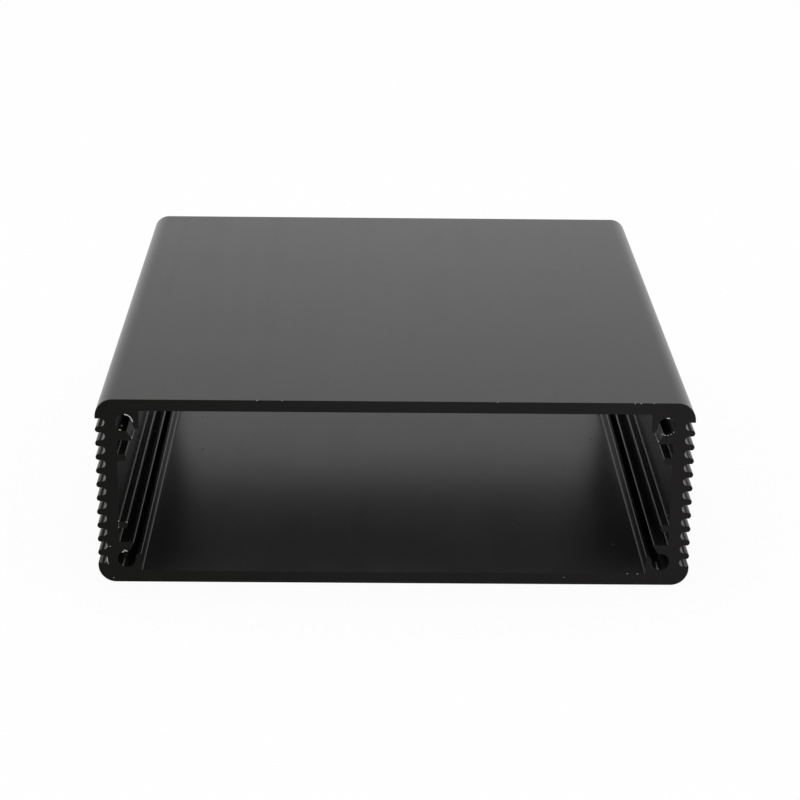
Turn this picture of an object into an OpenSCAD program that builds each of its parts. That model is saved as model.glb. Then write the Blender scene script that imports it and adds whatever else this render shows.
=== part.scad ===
// Extruded aluminium enclosure body, open at both ends.
// One profile cut to length: ribbed side walls, a screw channel in each corner
// and a pair of circuit board slots on each side.
// X runs across the width, Y along the extrusion and Z up.
// The origin is at the middle of the underside.

/* [Body] */
// Width over the tips of the fins
body_w = 80; // [60:1:120]
// Height over the flat faces
body_h = 26; // [20:1:40]
// Length that the profile is cut to
body_l = 100; // [50:5:200]
// Thickness of the flat top and bottom walls
face_wall = 1.6; // [1.2:0.1:2.2]
// Thickness of the side walls behind the grooves
side_wall = 1.6; // [1.2:0.1:2.4]
// Radius of the four long outer corners
corner_r = 2.4; // [1:0.1:2.8]

/* [Side fins] */
// Distance from one fin to the next
fin_pitch = 1.95; // [1.7:0.05:2.6]
// Thickness of a fin
fin_t = 0.85; // [0.6:0.05:1.1]
// Height of a fin above the bottom of its groove
fin_h = 1.3; // [1:0.1:2]
// Smallest plain land between a rounded corner and its first groove
land_min = 0.2; // [0.1:0.1:1]

/* [Screw channels] */
// Bore of a channel, cut by a 2.9 mm self-tapping screw
screw_d = 2.4; // [2:0.1:2.8]
// Screw centre from the inner face of the side wall
screw_side = 0.95; // [0.8:0.05:1.4]
// Screw centre from the inner face of the flat wall
screw_face = 1.7; // [1.6:0.05:2.2]
// Thickness of the lip between a channel and the open middle
lip_t = 0.8; // [0.7:0.1:1.4]
// Rise of that lip past the screw centre
lip_rise = 0.8; // [0.6:0.1:1.1]
// Thickness of the web between a channel and its board slot
web_t = 1.25; // [0.9:0.05:1.8]
// Reach of that web past the screw centre
web_reach = 1; // [0.9:0.1:1.2]
// Width of the mouth that opens a channel towards the middle
mouth_w = 1.2; // [0.8:0.1:1.3]
// Slope of the mouth above the flat wall
mouth_angle = 57; // [50:1:62]
// Shift of the mouth towards the lip
mouth_shift = 0.25; // [0.1:0.05:0.3]

/* [Board slots] */
// Height of a slot for a 1.6 mm board
slot_h = 2; // [1.8:0.1:2.6]
// Thickness of the ledge on the far side of a slot
ledge_t = 0.9; // [0.7:0.1:1.4]
// Reach of the ledge from the side wall
ledge_w = 1.1; // [0.8:0.1:2]
// Radius on the free edges of ledges, lips and webs
edge_r = 0.2; // [0.1:0.05:0.25]
// Radius in the inner corners at the feet of ledges, lips and webs
foot_r = 0.2; // [0.1:0.05:0.3]

/* [Hidden] */
$fn = 48;
overlap = 0.3;

half_w = body_w / 2;
half_h = body_h / 2;

// Each groove is as wide as the gap between two fins and has a round bottom.
groove_r = (fin_pitch - fin_t) / 2;
groove_n = floor((body_h - 2 * (corner_r + land_min) + fin_t) / fin_pitch);
comb_h = groove_n * fin_pitch - fin_t;
groove_axis_x = half_w - fin_h + groove_r;

// Places in a corner, measured inwards from the fin tips and from the flat face.
wall_x = fin_h + side_wall;
screw_x = wall_x + screw_side;
screw_z = face_wall + screw_face;
lip_x = screw_x + screw_d / 2 + lip_t;
lip_z = screw_z + lip_rise;
web_x = screw_x + web_reach;
slot_z = screw_z + screw_d / 2 + web_t;
ledge_z = slot_z + slot_h;

// Puts a shape drawn on the right on the left as well.
module both_sides() {
    children();
    mirror([1, 0]) children();
}

// Puts a shape drawn in the bottom left corner in all four corners.
// There x counts inwards from the fin tips and y from the flat face.
module all_corners() {
    for (side = [0, 1], face = [0, 1])
        mirror([side, 0])
            translate([0, half_h])
                mirror([0, face])
                    translate([-half_w, -half_h])
                        children();
}

// Rectangle with rounded corners, its middle at the origin.
module rounded_block(w, h, r) {
    square([w, h - 2 * r], center = true);
    square([w - 2 * r, h], center = true);
    for (x = [-1, 1], y = [-1, 1])
        translate([x * (w / 2 - r), y * (h / 2 - r)])
            circle(r);
}

// Bar along x with its free end at x = reach, standing on y = 0.
module tab(reach, thick, r) {
    square([reach - r, thick]);
    translate([0, r])
        square([reach, thick - 2 * r]);
    for (y = [r, thick - r])
        translate([reach - r, y])
            circle(r);
}

// Space taken out of the right side: a band down to the groove axes and the round groove bottoms.
module comb_space() {
    translate([groove_axis_x, half_h - comb_h / 2])
        square([fin_h, comb_h]);
    for (i = [0 : groove_n - 1])
        translate([groove_axis_x, half_h + (i - (groove_n - 1) / 2) * fin_pitch])
            circle(groove_r);
}

// The fins of the right side, each with a full round tip.
module fins() {
    for (i = [0 : groove_n - 2])
        translate([0, half_h + (i - (groove_n - 2) / 2) * fin_pitch]) {
            translate([groove_axis_x, -fin_t / 2])
                square([half_w - fin_t / 2 - groove_axis_x, fin_t]);
            translate([half_w - fin_t / 2, 0])
                circle(fin_t / 2);
        }
}

// Outline of the profile with its ribbed sides.
module outer_shape() {
    difference() {
        translate([0, half_h])
            rounded_block(body_w, body_h, corner_r);
        both_sides() comb_space();
    }
    both_sides() fins();
}

// Plain hollow inside the four walls.
module cavity() {
    translate([-half_w + wall_x, face_wall])
        square([body_w - 2 * wall_x, body_h - 2 * face_wall]);
}

// Solid metal round one screw channel: the lip stands on the flat wall, the web on the side wall.
module channel_block() {
    translate([wall_x - overlap, screw_z])
        tab(web_x - wall_x + overlap, slot_z - screw_z, edge_r);
    translate([wall_x - overlap, face_wall - overlap])
        square([screw_x - wall_x + overlap, slot_z - face_wall + overlap]);
    mirror([1, -1])
        translate([face_wall - overlap, wall_x - overlap])
            tab(lip_z - face_wall + overlap, lip_x - wall_x + overlap, edge_r);
}

// Ledge that carries the edge of a circuit board.
module ledge() {
    translate([wall_x - overlap, ledge_z])
        tab(ledge_w + overlap, ledge_t, edge_r);
}

// Fillet that fills an inner corner at the origin. Its metal lies left of and below the corner.
module fillet(r) {
    translate([-overlap, -overlap])
        difference() {
            square(r + overlap);
            translate([r + overlap, r + overlap])
                circle(r);
        }
}

// Fillets at the foot of the lip and on both sides of the web's slot and ledge.
module foot_fillets() {
    translate([lip_x, face_wall])
        fillet(foot_r);
    for (z = [slot_z, ledge_z + ledge_t])
        translate([wall_x, z])
            fillet(foot_r);
    translate([wall_x, ledge_z])
        mirror([0, 1])
            fillet(foot_r);
}

// Bore of one screw channel with the mouth that opens it.
module channel_bore() {
    translate([screw_x, screw_z]) {
        circle(screw_d / 2);
        rotate(mouth_angle)
            translate([0, -mouth_w / 2 - mouth_shift])
                square([screw_d + web_t + lip_t, mouth_w]);
    }
}

// Section of the whole profile.
module profile() {
    difference() {
        union() {
            difference() {
                outer_shape();
                cavity();
            }
            all_corners() channel_block();
            all_corners() ledge();
            all_corners() foot_fillets();
        }
        all_corners() channel_bore();
    }
}

// The profile drawn as one piece and sawn square at both ends.
module enclosure_body() {
    color([0.11, 0.11, 0.12])
        rotate([90, 0, 0])
            linear_extrude(height = body_l, center = true)
                profile();
}

enclosure_body();
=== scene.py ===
import math

import bpy
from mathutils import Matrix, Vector


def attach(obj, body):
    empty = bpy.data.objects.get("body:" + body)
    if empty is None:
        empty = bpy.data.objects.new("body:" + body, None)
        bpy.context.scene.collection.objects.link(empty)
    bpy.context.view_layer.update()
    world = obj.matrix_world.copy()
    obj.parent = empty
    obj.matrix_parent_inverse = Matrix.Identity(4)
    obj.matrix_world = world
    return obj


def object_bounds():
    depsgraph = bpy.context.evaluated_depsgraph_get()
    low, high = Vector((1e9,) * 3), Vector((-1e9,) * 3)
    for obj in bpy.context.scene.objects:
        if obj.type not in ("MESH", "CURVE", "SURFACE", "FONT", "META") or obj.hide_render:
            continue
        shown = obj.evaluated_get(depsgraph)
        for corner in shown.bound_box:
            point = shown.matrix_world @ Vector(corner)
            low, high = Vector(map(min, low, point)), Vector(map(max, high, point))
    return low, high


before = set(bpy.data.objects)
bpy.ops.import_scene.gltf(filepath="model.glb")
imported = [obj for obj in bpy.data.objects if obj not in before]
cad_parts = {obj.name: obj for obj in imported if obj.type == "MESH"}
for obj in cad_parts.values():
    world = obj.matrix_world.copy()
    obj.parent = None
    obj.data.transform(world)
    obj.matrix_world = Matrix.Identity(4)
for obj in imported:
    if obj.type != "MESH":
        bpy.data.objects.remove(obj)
cad_low, cad_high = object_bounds()

# The body stands on the floor, open at both ends. X runs across its width,
# Y along the extrusion and Z up. Blender works in metres; the lists of marks
# below are in millimetres, with depth counted inwards from the front end.
MM = 0.001
MICRON = 0.000001
FRONT = cad_low.y
END = cad_high.y
MIDDLE_Z = (cad_low.z + cad_high.z) / 2

# Screw channels: how far their axes stand from the body's middle, and their
# radius. FLARE is the middle of the slope that the web turns to the channel.
BORE_X = 36.15
BORE_Z = 9.7
BORE_R = 1.2
FLARE_X = 35.55
FLARE_Z = 8.0
FLARE_R = 0.62

# Tips of the webs beside the upper channels.
WEB_TIP_X = 35.12
WEB_TIP_Z = 20.6

# The inner floor's height, and how far it reaches each way. The grooves between
# the fins lie outside GROOVE_X and within COMB_Z of the middle height.
FLOOR_Z = 1.6
FLOOR_X = 34.0
GROOVE_X = 38.6
COMB_Z = 10.5

# Axle of the saw blade that cut the ends, and the scores it left to a metre.
SAW_X = 60
SAW_Z = -140
SAW_SCORES = 3500

# Thread that a screw formed in one channel, and how deep its first turn lies.
THREAD_PITCH = 0.7
THREAD_TURNS = 4
THREAD_START = 0.25
RIDGE_R = 0.045
LEAD_ANGLE = math.radians(5)

# Colours of the black film, of what lies on it and of the bare metal, which also paints
# glints.
DYE_FULL = (0.0112, 0.0098, 0.0101, 1)
DYE_THIN = (0.0132, 0.0119, 0.0121, 1)
LEFT_SIDE_TONE = (0.0048, 0.0054, 0.0040, 1)
FLOOR_HAZE = (0.0240, 0.0222, 0.0228, 1)
DARK_SPECK = (0.002, 0.002, 0.002, 1)
LIGHT_SPECK = (0.085, 0.082, 0.078, 1)
METAL_DULL = (0.34, 0.34, 0.34, 1)
METAL_BRIGHT = (0.86, 0.86, 0.85, 1)

# Roughness of the film as drawn, where it was sawn, between the fins, in the
# screw channels and under dust.
SATIN = 0.22
SAWN = 0.34
SMOOTH = 0.12
DULL = 0.48
DUSTY = 0.8


# ---------------------------------------------------------------- node helpers

def feed(tree, socket, value):
    """Give an input a number, a colour or another node's output."""
    if isinstance(value, bpy.types.NodeSocket):
        tree.links.new(value, socket)
    else:
        socket.default_value = value


def add_node(tree, kind, settings=None, **inputs):
    """Add a node; settings are its options, inputs its named sockets."""
    node = tree.nodes.new(kind)
    for name, value in (settings or {}).items():
        setattr(node, name, value)
    for name, value in inputs.items():
        feed(tree, node.inputs[name.replace("_", " ")], value)
    return node


def calc(tree, operation, *values):
    """One step of arithmetic on numbers or outputs."""
    node = add_node(tree, "ShaderNodeMath", {"operation": operation})
    for socket, value in zip(node.inputs, values):
        feed(tree, socket, value)
    return node.outputs[0]


def total(tree, *values):
    """Sum of several outputs."""
    result = values[0]
    for value in values[1:]:
        result = calc(tree, "ADD", result, value)
    return result


def swing(tree, value, amount):
    """Turn a 0 to 1 pattern into a swing of plus and minus half the amount."""
    return calc(tree, "MULTIPLY", calc(tree, "SUBTRACT", value, 0.5), amount)


def rise(tree, value, low, high):
    """Smooth step from 0 at low to 1 at high. It falls where low is the larger."""
    settings = {"interpolation_type": "SMOOTHSTEP"}
    node = add_node(tree, "ShaderNodeMapRange", settings, Value=value)
    if low < high:
        spans = (low, high, 0.0, 1.0)
    else:
        spans = (high, low, 1.0, 0.0)
    for name, number in zip(("From Min", "From Max", "To Min", "To Max"), spans):
        node.inputs[name].default_value = number
    return node.outputs[0]


def blend(tree, share, first, second):
    """Number that goes from first to second as share goes from 0 to 1."""
    node = add_node(tree, "ShaderNodeMix", {"data_type": "FLOAT"})
    for index, value in zip((0, 2, 3), (share, first, second)):
        feed(tree, node.inputs[index], value)
    return node.outputs[0]


def blend_colour(tree, share, first, second):
    """Colour that goes from first to second as share goes from 0 to 1."""
    node = add_node(tree, "ShaderNodeMix", {"data_type": "RGBA"})
    for index, value in zip((0, 6, 7), (share, first, second)):
        feed(tree, node.inputs[index], value)
    return node.outputs[2]


def noise(tree, place, spots, detail=2.0):
    """Soft random pattern; spots says how many to a metre along X, Y and Z."""
    settings = {"operation": "MULTIPLY"}
    spread = add_node(tree, "ShaderNodeVectorMath", settings)
    feed(tree, spread.inputs[0], place)
    spread.inputs[1].default_value = spots
    node = add_node(
        tree,
        "ShaderNodeTexNoise",
        Vector=spread.outputs[0],
        Scale=1.0,
        Detail=detail,
    )
    return node.outputs[0]


# ------------------------------------------------------------------- materials

def new_material(name):
    """An empty node material with its Principled shader wired to the output."""
    material = bpy.data.materials.new(name)
    material.use_nodes = True
    tree = material.node_tree
    tree.nodes.clear()
    shader = add_node(tree, "ShaderNodeBsdfPrincipled")
    output = add_node(tree, "ShaderNodeOutputMaterial")
    tree.links.new(shader.outputs["BSDF"], output.inputs["Surface"])
    return material, tree, shader


def place_on_object(tree):
    """Object coordinates, whole and split into X, Y and Z."""
    place = add_node(tree, "ShaderNodeTexCoord").outputs["Object"]
    parts = add_node(tree, "ShaderNodeSeparateXYZ", Vector=place)
    return place, parts.outputs[0], parts.outputs[1], parts.outputs[2]


def distance_in_section(tree, x, z, centre_x, centre_z):
    """Distance in mm from a line along the body, the same in all four corners."""
    side = calc(tree, "SUBTRACT", calc(tree, "ABSOLUTE", x), centre_x * MM)
    height = calc(tree, "ABSOLUTE", calc(tree, "SUBTRACT", z, MIDDLE_Z))
    height = calc(tree, "SUBTRACT", height, centre_z * MM)
    squares = [calc(tree, "POWER", value, 2.0) for value in (side, height)]
    length = calc(tree, "SQRT", total(tree, *squares))
    return calc(tree, "MULTIPLY", length, 1 / MM)


def cut_end(tree, y):
    """1 on the two sawn ends and 0 along the body."""
    return rise(tree, calc(tree, "ABSOLUTE", y), END - 0.03 * MM, END - 0.005 * MM)


def channel_walls(tree, x, z):
    """1 on the walls of the screw channels and on the webs' slopes beside them."""
    bore = distance_in_section(tree, x, z, BORE_X, BORE_Z)
    flare = distance_in_section(tree, x, z, FLARE_X, FLARE_Z)
    bore = rise(tree, bore, BORE_R + 0.16, BORE_R + 0.06)
    flare = rise(tree, flare, FLARE_R + 0.1, FLARE_R)
    return calc(tree, "MAXIMUM", bore, flare)


def inner_floor(tree, x, z):
    """1 on the flat inner floor between the two lower lips."""
    side = calc(tree, "LESS_THAN", calc(tree, "ABSOLUTE", x), FLOOR_X * MM)
    above = calc(tree, "GREATER_THAN", z, (FLOOR_Z - 0.3) * MM)
    below = calc(tree, "LESS_THAN", z, (FLOOR_Z + 0.3) * MM)
    return calc(tree, "MULTIPLY", side, calc(tree, "MULTIPLY", above, below))


def groove_walls(tree, x, z):
    """1 between the fins on both sides."""
    deep = calc(tree, "GREATER_THAN", calc(tree, "ABSOLUTE", x), GROOVE_X * MM)
    level = calc(tree, "ABSOLUTE", calc(tree, "SUBTRACT", z, MIDDLE_Z))
    combs = calc(tree, "LESS_THAN", level, COMB_Z * MM)
    return calc(tree, "MULTIPLY", deep, combs)


def dust(tree, x, y, z, cells, size, share):
    """Scattered specks: cells to a metre, their size in mm, the share that show.

    Height is added to both flat directions, so that upright faces get specks too.
    """
    across = calc(tree, "MULTIPLY_ADD", z, 1.7, x)
    along = calc(tree, "MULTIPLY_ADD", z, 0.9, y)
    flat = add_node(tree, "ShaderNodeCombineXYZ", X=across, Y=along)
    spots = add_node(
        tree,
        "ShaderNodeTexVoronoi",
        {"voronoi_dimensions": "2D"},
        Vector=flat.outputs[0],
        Scale=cells,
    )
    radius = size * MM * cells
    inside = rise(tree, spots.outputs["Distance"], radius, radius * 0.5)
    pick = add_node(tree, "ShaderNodeSeparateColor", Color=spots.outputs["Color"])
    shown = calc(tree, "LESS_THAN", pick.outputs[0], share)
    return calc(tree, "MULTIPLY", inside, shown)


def saw_marks(tree, x, z):
    """Fine curved scores of a large saw blade across the ends."""
    side = calc(tree, "SUBTRACT", x, SAW_X * MM)
    height = calc(tree, "SUBTRACT", z, SAW_Z * MM)
    squares = [calc(tree, "POWER", value, 2.0) for value in (side, height)]
    radius = calc(tree, "SQRT", total(tree, *squares))
    rings = add_node(tree, "ShaderNodeCombineXYZ", X=radius)
    return noise(tree, rings.outputs[0], (SAW_SCORES, 1, 1), 3.0)


def black_anodise():
    """Satin black anodise on an extrusion, a dark dyed film over die lines."""
    material, tree, shader = new_material("black_anodise")
    place, x, y, z = place_on_object(tree)
    ends = cut_end(tree, y)
    channels = channel_walls(tree, x, z)
    cloud = noise(tree, place, (110, 70, 110), 3.0)
    streaks = noise(tree, place, (900, 9, 900), 3.0)
    die_lines = noise(tree, place, (4200, 24, 4200), 2.0)
    grain = noise(tree, place, (9000, 9000, 9000), 1.0)
    light_dust = dust(tree, x, y, z, 62.0, 0.17, 0.4)
    dark_dust = dust(tree, z, x, y, 48.0, 0.15, 0.3)

    uneven = total(tree, swing(tree, cloud, 0.5), swing(tree, streaks, 0.35))
    uneven = calc(tree, "ADD", uneven, 0.4)
    base_tone = blend_colour(tree, uneven, DYE_FULL, DYE_THIN)
    # Darker and a shade greener towards the left side.
    across = rise(tree, x, -END * 0.85, END * 0.1)
    base_tone = blend_colour(tree, across, LEFT_SIDE_TONE, base_tone)
    haze = calc(tree, "MULTIPLY", inner_floor(tree, x, z), rise(tree, cloud, -0.3, 0.8))
    haze = calc(tree, "MULTIPLY", haze, calc(tree, "SUBTRACT", 1.0, ends))
    base_tone = blend_colour(tree, haze, base_tone, FLOOR_HAZE)
    base_tone = blend_colour(tree, dark_dust, base_tone, DARK_SPECK)
    base_tone = blend_colour(tree, light_dust, base_tone, LIGHT_SPECK)
    feed(tree, shader.inputs["Base Color"], base_tone)

    satin = total(
        tree,
        swing(tree, cloud, 0.05),
        swing(tree, streaks, 0.06),
        swing(tree, grain, 0.03),
    )
    roughness = calc(tree, "ADD", satin, SATIN)
    grooves = groove_walls(tree, x, z)
    roughness = blend(tree, grooves, roughness, calc(tree, "ADD", satin, SMOOTH))
    roughness = blend(tree, ends, roughness, calc(tree, "ADD", satin, SAWN))
    inside = calc(tree, "MULTIPLY", channels, calc(tree, "SUBTRACT", 1.0, ends))
    roughness = blend(tree, inside, roughness, DULL)
    roughness = blend(tree, light_dust, roughness, DUSTY)
    feed(tree, shader.inputs["Roughness"], roughness)
    shader.inputs["IOR"].default_value = 1.18

    drawn = total(
        tree,
        swing(tree, die_lines, 1.2 * MICRON),
        swing(tree, streaks, 3.0 * MICRON),
    )
    sawn = swing(tree, saw_marks(tree, x, z), 5.0 * MICRON)
    height = blend(tree, ends, drawn, sawn)
    height = total(tree, height, swing(tree, grain, 0.8 * MICRON))
    height = calc(tree, "MULTIPLY_ADD", light_dust, 25 * MICRON, height)
    bump = add_node(tree, "ShaderNodeBump", Height=height, Distance=1.0)
    tree.links.new(bump.outputs[0], shader.inputs["Normal"])
    return material


def bare_aluminium():
    """Bright metal where the saw or a screw broke through the black film; its slivers and
    ridges also paint glints.
    """
    material, tree, shader = new_material("bare_aluminium")
    place = place_on_object(tree)[0]
    wear = noise(tree, place, (5200, 5200, 5200), 3.0)
    tone = blend_colour(tree, wear, METAL_DULL, METAL_BRIGHT)
    feed(tree, shader.inputs["Base Color"], tone)
    feed(tree, shader.inputs["Roughness"], blend(tree, wear, 0.46, 0.3))
    shader.inputs["Metallic"].default_value = 0.6
    scratch = noise(tree, place, (14000, 3000, 14000), 1.0)
    bump = add_node(
        tree, "ShaderNodeBump", Height=swing(tree, scratch, 6 * MICRON), Distance=1.0
    )
    tree.links.new(bump.outputs[0], shader.inputs["Normal"])
    return material


# -------------------------------------------------------------- geometry trees

def new_geometry_tree(name, sockets):
    """A geometry tree with named inputs; returns it with its two ends."""
    tree = bpy.data.node_groups.new(name, "GeometryNodeTree")
    face = tree.interface
    face.new_socket("Geometry", in_out="INPUT", socket_type="NodeSocketGeometry")
    for label, kind in sockets:
        face.new_socket(label, in_out="INPUT", socket_type="NodeSocket" + kind)
    face.new_socket("Finish", in_out="INPUT", socket_type="NodeSocketMaterial")
    face.new_socket("Geometry", in_out="OUTPUT", socket_type="NodeSocketGeometry")
    start = tree.nodes.new("NodeGroupInput")
    end = tree.nodes.new("NodeGroupOutput")
    return tree, start.outputs, end.inputs


def finish_tree(tree, given, taken, shape):
    """Make the shape real, smooth it and give it its finish."""
    real = add_node(tree, "GeometryNodeRealizeInstances", Geometry=shape)
    smooth = add_node(
        tree, "GeometryNodeSetShadeSmooth", Geometry=real.outputs["Geometry"]
    )
    painted = add_node(
        tree,
        "GeometryNodeSetMaterial",
        Geometry=smooth.outputs["Geometry"],
        Material=given["Finish"],
    )
    tree.links.new(painted.outputs["Geometry"], taken["Geometry"])


def burr_and_glint_tree():
    """Thin ragged slivers of metal along the edges that come in, for burrs and for painted
    glints.
    """
    sockets = (("Burr Radius", "Float"), ("Wander", "Float"), ("Seed", "Int"))
    tree, given, taken = new_geometry_tree("edge_burrs", sockets)
    path = add_node(tree, "GeometryNodeMeshToCurve", Mesh=given["Geometry"])
    fine = add_node(
        tree,
        "GeometryNodeResampleCurve",
        {"mode": "LENGTH"},
        Curve=path.outputs["Curve"],
        Length=0.07 * MM,
    )
    place = add_node(tree, "GeometryNodeInputPosition").outputs[0]
    ragged = add_node(
        tree,
        "ShaderNodeTexNoise",
        {"noise_dimensions": "4D"},
        Vector=place,
        W=given["Seed"],
        Scale=3200.0,
    )
    centred = add_node(tree, "ShaderNodeVectorMath", {"operation": "SUBTRACT"})
    tree.links.new(ragged.outputs["Color"], centred.inputs[0])
    centred.inputs[1].default_value = (0.5, 0.5, 0.5)
    shift = add_node(tree, "ShaderNodeVectorMath", {"operation": "SCALE"})
    tree.links.new(centred.outputs[0], shift.inputs[0])
    tree.links.new(given["Wander"], shift.inputs["Scale"])
    moved = add_node(
        tree,
        "GeometryNodeSetPosition",
        Geometry=fine.outputs["Curve"],
        Offset=shift.outputs[0],
    )
    along = add_node(tree, "GeometryNodeSplineParameter").outputs["Factor"]
    taper = calc(tree, "SINE", calc(tree, "MULTIPLY", along, math.pi))
    uneven = calc(tree, "MULTIPLY_ADD", ragged.outputs[0], 2.4, -0.35)
    width = calc(tree, "MULTIPLY", calc(tree, "POWER", taper, 0.4), uneven)
    width = calc(tree, "ADD", width, 0.08)
    tapered = add_node(
        tree,
        "GeometryNodeSetCurveRadius",
        Curve=moved.outputs["Geometry"],
        Radius=width,
    )
    section = add_node(
        tree,
        "GeometryNodeCurvePrimitiveCircle",
        Resolution=7,
        Radius=given["Burr Radius"],
    )
    sliver = add_node(
        tree,
        "GeometryNodeCurveToMesh",
        Curve=tapered.outputs["Curve"],
        Profile_Curve=section.outputs["Curve"],
        Fill_Caps=True,
    )
    finish_tree(tree, given, taken, sliver.outputs["Mesh"])
    return tree


def thread_tree():
    """Low ridges round a bore, one for each turn of a thread."""
    sockets = (
        ("Bore Radius", "Float"),
        ("Ridge Radius", "Float"),
        ("Pitch", "Float"),
        ("Turns", "Int"),
        ("First Angle", "Float"),
        ("Sweep", "Float"),
        ("Place", "Vector"),
    )
    tree, given, taken = new_geometry_tree("formed_thread", sockets)
    ring = add_node(
        tree,
        "GeometryNodeCurveArc",
        {"mode": "RADIUS"},
        Resolution=40,
        Radius=given["Bore Radius"],
        Start_Angle=given["First Angle"],
        Sweep_Angle=given["Sweep"],
    )
    section = add_node(
        tree,
        "GeometryNodeCurvePrimitiveCircle",
        Resolution=8,
        Radius=given["Ridge Radius"],
    )
    ridge = add_node(
        tree,
        "GeometryNodeCurveToMesh",
        Curve=ring.outputs["Curve"],
        Profile_Curve=section.outputs["Curve"],
        Fill_Caps=True,
    )
    inwards = calc(tree, "MULTIPLY", given["Pitch"], -1.0)
    step = add_node(tree, "ShaderNodeCombineXYZ", Z=inwards)
    row = add_node(
        tree,
        "GeometryNodeMeshLine",
        {"mode": "OFFSET"},
        Count=given["Turns"],
        Offset=step.outputs[0],
    )
    turns = add_node(
        tree,
        "GeometryNodeInstanceOnPoints",
        Points=row.outputs["Mesh"],
        Instance=ridge.outputs["Mesh"],
        Rotation=(LEAD_ANGLE, 0, 0),
    )
    laid = add_node(
        tree,
        "GeometryNodeTransform",
        Geometry=turns.outputs["Instances"],
        Translation=given["Place"],
        Rotation=(math.radians(90), 0, 0),
    )
    finish_tree(tree, given, taken, laid.outputs["Geometry"])
    return tree


def grow(name, mesh, tree, **values):
    """Run a geometry tree on a mesh and ride its plain result on the body."""
    rough_piece = bpy.data.objects.new(name + "_source", mesh)
    bpy.context.scene.collection.objects.link(rough_piece)
    modifier = rough_piece.modifiers.new("grow", "NODES")
    modifier.node_group = tree
    for item in tree.interface.items_tree:
        label = item.name.replace(" ", "_")
        if item.in_out == "INPUT" and label in values:
            modifier[item.identifier] = values[label]
    graph = bpy.context.evaluated_depsgraph_get()
    plain = bpy.data.meshes.new_from_object(rough_piece.evaluated_get(graph))
    rough_piece.modifiers.remove(modifier)
    bpy.data.objects.remove(rough_piece)
    piece = bpy.data.objects.new(name, plain)
    bpy.context.scene.collection.objects.link(piece)
    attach(piece, "root")
    return piece


# --------------------------------------------------- marks left at the front and painted glints

def rim(side, level, first, last, depth=0.0, radius=BORE_R):
    """Path in mm along a channel's rim; side and level are -1 or 1."""
    steps = max(3, round(abs(last - first) / 6))
    path = []
    for index in range(steps + 1):
        turn = math.radians(first + (last - first) * index / steps)
        x = side * BORE_X + radius * math.cos(turn)
        z = MIDDLE_Z / MM + level * BORE_Z + radius * math.sin(turn)
        path.append((x, depth, z))
    return path


def run(x, z, first, last):
    """Straight path in mm along the body, from one depth to another."""
    return [(x, first, z), (x, last, z)]


def nick(x, z, length, depth=0.0):
    """Short path in mm across the body."""
    return [(x - length / 2, depth, z), (x + length / 2, depth, z)]


def edge_mesh(name, paths):
    """Loose edges along paths that are given in mm from the front end."""
    points = []
    edges = []
    for path in paths:
        first = len(points)
        for x, depth, z in path:
            points.append((x * MM, FRONT + depth * MM, z * MM))
        edges += [(i, i + 1) for i in range(first, len(points) - 1)]
    mesh = bpy.data.meshes.new(name)
    mesh.from_pydata(points, edges, [])
    return mesh


def heavy_burrs_and_glint():
    """Torn rims of the screw channels, the bared tips of the upper webs, and a bright line
    that paints a glint in the lower left channel.
    """
    return [
        rim(-1, 1, 84, 8),
        rim(-1, 1, -124, -110, 0.1, BORE_R - 0.06),
        rim(-1, 1, -122, -108, 1.9, BORE_R - 0.06),
        run(-WEB_TIP_X, WEB_TIP_Z, 0.0, 3.4),
        run(WEB_TIP_X, WEB_TIP_Z, 0.0, 3.3),
        rim(1, 1, 74, 92, 0.0, BORE_R + 0.02),
        rim(-1, -1, 121, 107, -0.03, BORE_R - 0.05),
        rim(-1, -1, 107, 99, -0.03, BORE_R + 0.1),
        rim(-1, -1, 99, 84, -0.03, BORE_R - 0.04),
        # Painted glint: a bright line down the lower left channel's wall where light
        # shines along it.
        run(-36.70, 2.32, 0.2, 3.1),
    ]


def fine_burrs():
    """Hair-thin edges and nicks that the saw and the screws left, and bright slivers that
    paint glints.
    """
    thin = [
        # This bright line in the upper right channel is a painted glint.
        run(35.78, 21.6, 0.1, 3.4),
        rim(1, 1, -122, -114),
        rim(1, 1, -104, -96),
        rim(1, 1, -84, -77),
        rim(1, 1, -64, -57),
        rim(1, 1, -42, -34),
        nick(-37.12, 8.75, 0.14),
        run(-37.1, 8.3, -0.02, 0.2),
        nick(-37.15, 7.9, 0.12),
        nick(-36.05, 8.6, 0.18),
        # The next three are painted glints between the lower left fins.
        nick(-38.36, 5.11, 0.14, -0.02),
        nick(-38.80, 5.05, 0.10, -0.02),
        rim(-1, -1, 196, 176, -0.02, 2.62),
        nick(-37.97, 0.55, 0.10),
    ]
    for x, length in ((-18.4, 0.12), (-15.1, 0.08), (13.5, 0.08), (34.3, 0.08)):
        thin.append(nick(x, 25.96, length))
    for x, length in ((31.8, 0.08), (32.6, 0.14)):
        thin.append(nick(x, 25.94, length))
    for x, z, length in ((31.7, 1.6, 0.14), (33.1, 1.58, 0.1), (23.1, 1.0, 0.1)):
        thin.append(nick(x, z, length))
    return thin


def add_burrs_and_glints(finish):
    """All the bright slivers at the front end, thick and thin: burrs, and some that paint
    glints.
    """
    tree = burr_and_glint_tree()
    kinds = (
        ("rim_burrs", heavy_burrs_and_glint(), 0.065, 0.10, 3),
        ("fine_burrs", fine_burrs(), 0.040, 0.05, 8),
    )
    for name, paths, radius, wander, seed in kinds:
        grow(
            name,
            edge_mesh(name + "_paths", paths),
            tree,
            Burr_Radius=radius * MM,
            Wander=wander * MM,
            Seed=seed,
            Finish=finish,
        )


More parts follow.
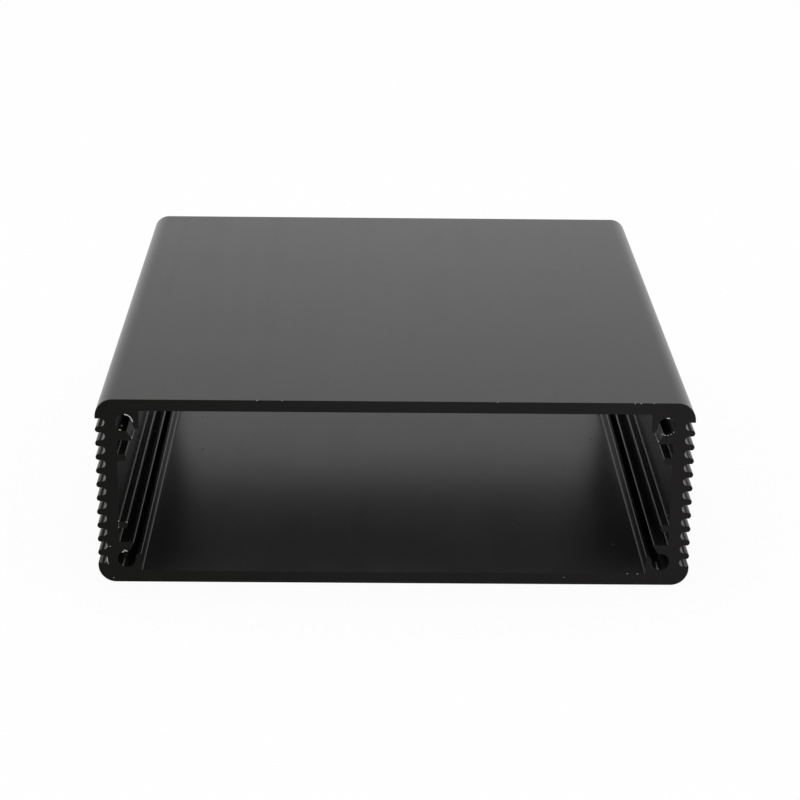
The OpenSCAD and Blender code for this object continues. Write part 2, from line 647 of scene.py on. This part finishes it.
def add_formed_thread(film, metal):
    """Thread that a screw formed in the lower right channel, with bright metal laid on one
    short arc of each ridge as painted glints.
    """
    tree = thread_tree()
    place = (BORE_X * MM, FRONT + THREAD_START * MM, MIDDLE_Z - BORE_Z * MM)
    # Name, finish, first angle, sweep, and how far the ridges stand in.
    kinds = (
        ("thread_ridges", film, -186, 246, 0.0),
        # Painted highlight: bare metal laid on each ridge only where its glint falls.
        ("thread_bright_spots", metal, -111, 11, 0.04),
    )
    for name, finish, first, sweep, inset in kinds:
        grow(
            name,
            bpy.data.meshes.new(name + "_start"),
            tree,
            Bore_Radius=(BORE_R - inset) * MM,
            Ridge_Radius=RIDGE_R * MM,
            Pitch=THREAD_PITCH * MM,
            Turns=THREAD_TURNS,
            First_Angle=math.radians(first),
            Sweep=math.radians(sweep),
            Place=place,
            Finish=finish,
        )


# ---------------------------------------------------------- camera and studio

def place_camera():
    """A long lens, low in front of the open end and a little to the left."""
    data = bpy.data.cameras.new("camera")
    data.lens = 113.2
    data.sensor_width = 36
    camera = bpy.data.objects.new("camera", data)
    camera.location = (-0.00425, -0.36696, 0.13028)
    camera.rotation_euler = [math.radians(a) for a in (71.822, -0.664, -0.648)]
    bpy.context.scene.collection.objects.link(camera)
    bpy.context.scene.camera = camera


def seen_directly(tree):
    """1 for rays that show the background: straight, mirrored or through glass."""
    path = add_node(tree, "ShaderNodeLightPath").outputs
    seen = calc(tree, "MAXIMUM", path["Is Camera Ray"], path["Is Glossy Ray"])
    return calc(tree, "MAXIMUM", seen, path["Is Transmission Ray"])


def light_the_room():
    """A pale room that lights evenly, with a white backdrop."""
    world = bpy.data.worlds.new("studio")
    bpy.context.scene.world = world
    world.use_nodes = True
    tree = world.node_tree
    tree.nodes.clear()
    room = add_node(tree, "ShaderNodeBackground", Color=(1, 1, 1, 1), Strength=0.6)
    white = add_node(tree, "ShaderNodeBackground", Color=(1, 1, 1, 1), Strength=1.0)
    mix = add_node(tree, "ShaderNodeMixShader", Fac=seen_directly(tree))
    tree.links.new(room.outputs[0], mix.inputs[1])
    tree.links.new(white.outputs[0], mix.inputs[2])
    output = add_node(tree, "ShaderNodeOutputWorld")
    tree.links.new(mix.outputs[0], output.inputs["Surface"])


def soft_box(name, place, aim, size, power):
    """One large soft lamp turned towards a point."""
    data = bpy.data.lights.new(name, "AREA")
    data.shape = "RECTANGLE"
    data.size, data.size_y = size
    data.energy = power
    lamp = bpy.data.objects.new(name, data)
    lamp.location = place
    away = lamp.location - Vector(aim)
    lamp.rotation_euler = away.to_track_quat("Z", "Y").to_euler()
    bpy.context.scene.collection.objects.link(lamp)


def lay_the_floor():
    """A plain white floor that keeps a little of the object's shadow."""
    half = 2.0
    level = -0.02 * MM
    sides = ((-1, -1), (1, -1), (1, 1), (-1, 1))
    corners = [(x * half, y * half, level) for x, y in sides]
    mesh = bpy.data.meshes.new("floor")
    mesh.from_pydata(corners, [], [(0, 1, 2, 3)])
    floor = bpy.data.objects.new("floor", mesh)
    bpy.context.scene.collection.objects.link(floor)
    material, tree, shader = new_material("floor_paper")
    shader.inputs["Base Color"].default_value = (0.9, 0.9, 0.9, 1)
    shader.inputs["Roughness"].default_value = 0.9
    shader.inputs["Specular IOR Level"].default_value = 0.0
    glow = add_node(tree, "ShaderNodeEmission", Color=(1, 1, 1, 1), Strength=1.0)
    share = calc(tree, "MULTIPLY", seen_directly(tree), 0.94)
    mix = add_node(tree, "ShaderNodeMixShader", Fac=share)
    tree.links.new(shader.outputs[0], mix.inputs[1])
    tree.links.new(glow.outputs[0], mix.inputs[2])
    # Nothing is seen of the floor from below, so that the underside shows.
    below = add_node(tree, "ShaderNodeNewGeometry").outputs["Backfacing"]
    clear = add_node(tree, "ShaderNodeBsdfTransparent")
    one_sided = add_node(tree, "ShaderNodeMixShader", Fac=below)
    tree.links.new(mix.outputs[0], one_sided.inputs[1])
    tree.links.new(clear.outputs[0], one_sided.inputs[2])
    output = tree.nodes["Material Output"]
    tree.links.new(one_sided.outputs[0], output.inputs["Surface"])
    mesh.materials.append(material)


place_camera()
light_the_room()
soft_box("overhead", (0, 0, 0.9), (0, 0, 0), (0.8, 0.8), 4)
lay_the_floor()

film = black_anodise()
# The bare metal serves for burrs and also paints glints on slivers and thread ridges.
metal = bare_aluminium()
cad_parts["enclosure_body"].material_slots[0].material = film
add_burrs_and_glints(metal)
add_formed_thread(film, metal)

bpy.context.scene.view_settings.view_transform = "Standard"
